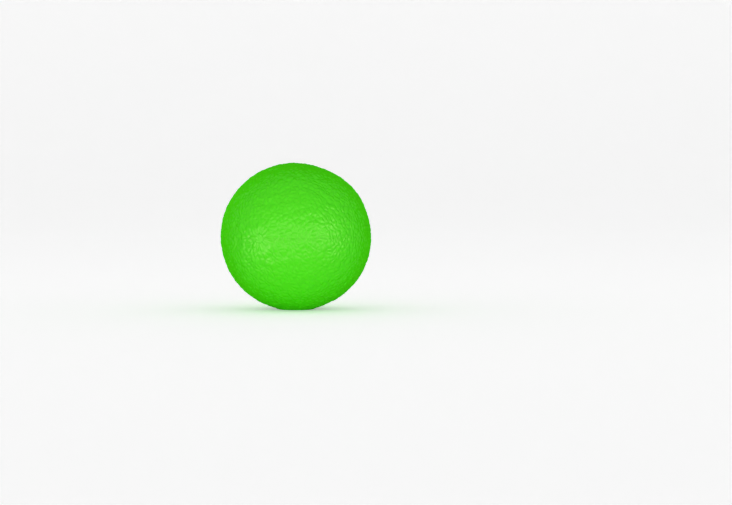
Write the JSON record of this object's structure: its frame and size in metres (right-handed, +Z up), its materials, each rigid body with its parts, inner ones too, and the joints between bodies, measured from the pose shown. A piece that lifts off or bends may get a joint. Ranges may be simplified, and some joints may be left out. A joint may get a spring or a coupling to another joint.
{
  "type": "stress ball",
  "caption": "Soft gel-filled hand squeeze ball with a leather-grained moulded skin, welded round its equator and closed by a flush plug.",
  "frame": {"origin": "middle of the small flat that the ball rests on, on the surface that it stands on", "axes": "+Z up, along the squeeze; -Y towards the fill plug on the seam; +X to the right as seen from the plug's side"},
  "size_m": [0.0502, 0.0501, 0.0487],
  "materials": {
    "skin_upper": "satin",
    "skin_lower": "satin",
    "plug": "satin",
    "weld": "satin",
    "gel": "gloss"
  },
  "bodies": {
    "lower": {"skin_lower": "skin_lower"},
    "middle": {"gel_core": "gel", "weld_bead": "weld", "fill_plug": "plug"},
    "upper": {"skin_upper": "skin_upper"}
  },
  "joints": [
    {"name": "squeeze", "type": "slide", "parent": "lower", "child": "upper", "axis": [0, 0, -1], "range_m": [0, 0.02], "stiffness_N_per_m": 1200, "deforming": ["skin_upper", "skin_lower"]},
    {"name": "core_sink", "type": "slide", "parent": "lower", "child": "middle", "axis": [0, 0, -1], "range_m": [0, 0.01], "deforming": ["gel_core", "weld_bead", "fill_plug"]}
  ],
  "couplings": [
    {"joint": "core_sink", "follows": "squeeze", "ratio": 0.5}
  ]
}
